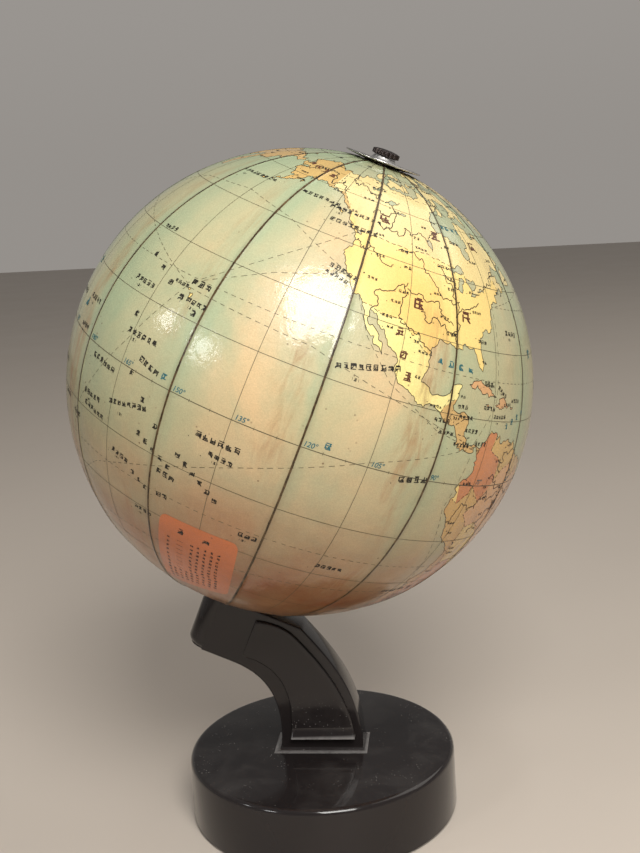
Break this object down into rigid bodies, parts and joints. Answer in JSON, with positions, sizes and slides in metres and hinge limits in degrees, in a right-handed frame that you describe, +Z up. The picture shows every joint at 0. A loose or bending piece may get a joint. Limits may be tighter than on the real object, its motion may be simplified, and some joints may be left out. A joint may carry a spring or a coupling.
{
  "type": "desk globe",
  "caption": "Terrestrial desk globe that turns on an axle leaning 23.5 degrees, carried from below by a swept black neck on a round weighted base.",
  "frame": {"origin": "centre of the round base on the table, straight below the centre of the globe", "axes": "+Z up, +X the way the north pole leans, -Y the side that faces the viewer"},
  "size_m": [0.319, 0.3196, 0.4777],
  "materials": {
    "black_plastic": "glossy moulded black, dusty, fine scratches",
    "fibre_board": "matt black fibre board",
    "rubber": "matt black",
    "cast_iron": "rough as cast",
    "steel": "zinc plated, dulled",
    "chrome": "polished, slightly pitted",
    "dark_nut": "dark, semi-gloss, ribbed rim",
    "pasteboard": "raw layered pasteboard",
    "hub_wood": "turned hardwood",
    "printed_paper": "printed paper under aged glossy varnish"
  },
  "bodies": {
    "stand": {"base_shell": "black_plastic", "neck_body": "black_plastic", "bottom_plate": "fibre_board", "foot_1": "rubber", "plate_screw_1": "steel", "foot_2": "rubber", "plate_screw_2": "steel", "foot_3": "rubber", "plate_screw_3": "steel", "foot_4": "rubber", "plate_screw_4": "steel", "ballast_plate": "cast_iron", "neck_washer_1": "steel", "neck_washer_2": "steel", "neck_screw_1": "steel", "neck_screw_2": "steel", "axle_rod": "steel", "lock_washer": "steel", "lock_nut": "steel", "spring_washer": "steel", "south_spacer": "steel", "north_collar": "chrome"},
    "globe": {"north_hemisphere": "pasteboard", "south_hemisphere": "pasteboard", "equator_ring": "pasteboard", "north_hub": "hub_wood", "south_hub": "hub_wood", "north_disc": "chrome", "south_disc": "chrome", "gore_01": "printed_paper", "gore_02": "printed_paper", "gore_03": "printed_paper", "gore_04": "printed_paper", "gore_05": "printed_paper", "gore_06": "printed_paper", "gore_07": "printed_paper", "gore_08": "printed_paper", "gore_09": "printed_paper", "gore_10": "printed_paper", "gore_11": "printed_paper", "gore_12": "printed_paper"},
    "nut": {"thumb_nut": "dark_nut"}
  },
  "joints": [
    {"name": "globe_spin", "type": "hinge", "parent": "stand", "child": "globe", "pos_m": [0, 0, 0.318], "axis": [0.3987, 0, 0.9171], "continuous": true},
    {"name": "nut_turn", "type": "hinge", "parent": "stand", "child": "nut", "pos_m": [0.06619, 0, 0.47023], "axis": [0.3987, 0, 0.9171], "range_deg": [0, 90]}
  ]
}
